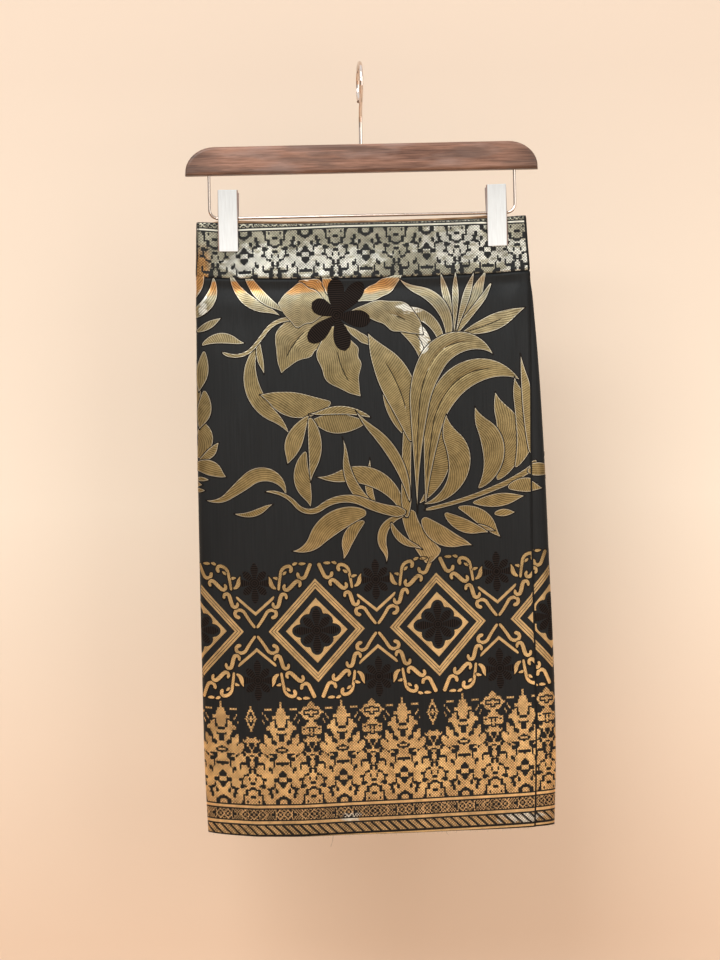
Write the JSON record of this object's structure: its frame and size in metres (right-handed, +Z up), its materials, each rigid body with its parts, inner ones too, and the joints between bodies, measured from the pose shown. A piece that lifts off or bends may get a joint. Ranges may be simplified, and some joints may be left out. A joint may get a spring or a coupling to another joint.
{
  "type": "sampin on a clip hanger",
  "caption": "Short Malay wrapped sarong of black and gold brocade, pinched flat at its waistband by the clips of a wooden bar hanger and hanging open at the hem.",
  "frame": {"origin": "the point under the hook's crown where it bears on a rail", "axes": "+Z up, +X to the right as seen from the front, -Y towards the front"},
  "size_m": [0.3664, 0.0481, 0.7848],
  "materials": {
    "body_brocade": "black satin ground with raised metallic gold thread figures",
    "band_brocade": "close stepped figures in pale metallic gold thread on black",
    "bar_wood": "walnut stain under a satin varnish",
    "hook_chrome": "polished",
    "clip_steel": "fine satin plating"
  },
  "bodies": {
    "root": {"front_panel": "body_brocade", "under_panel": "body_brocade", "back_panel": "body_brocade", "waistband_front": "band_brocade", "waistband_under": "band_brocade", "waistband_back": "band_brocade", "hanger_bar": "bar_wood", "hanger_hook": "hook_chrome", "clip_wire": "hook_chrome", "clip_left_front": "clip_steel", "clip_left_back": "clip_steel", "clip_left_spring": "clip_steel", "clip_right_front": "clip_steel", "clip_right_back": "clip_steel", "clip_right_spring": "clip_steel"}
  },
  "joints": []
}
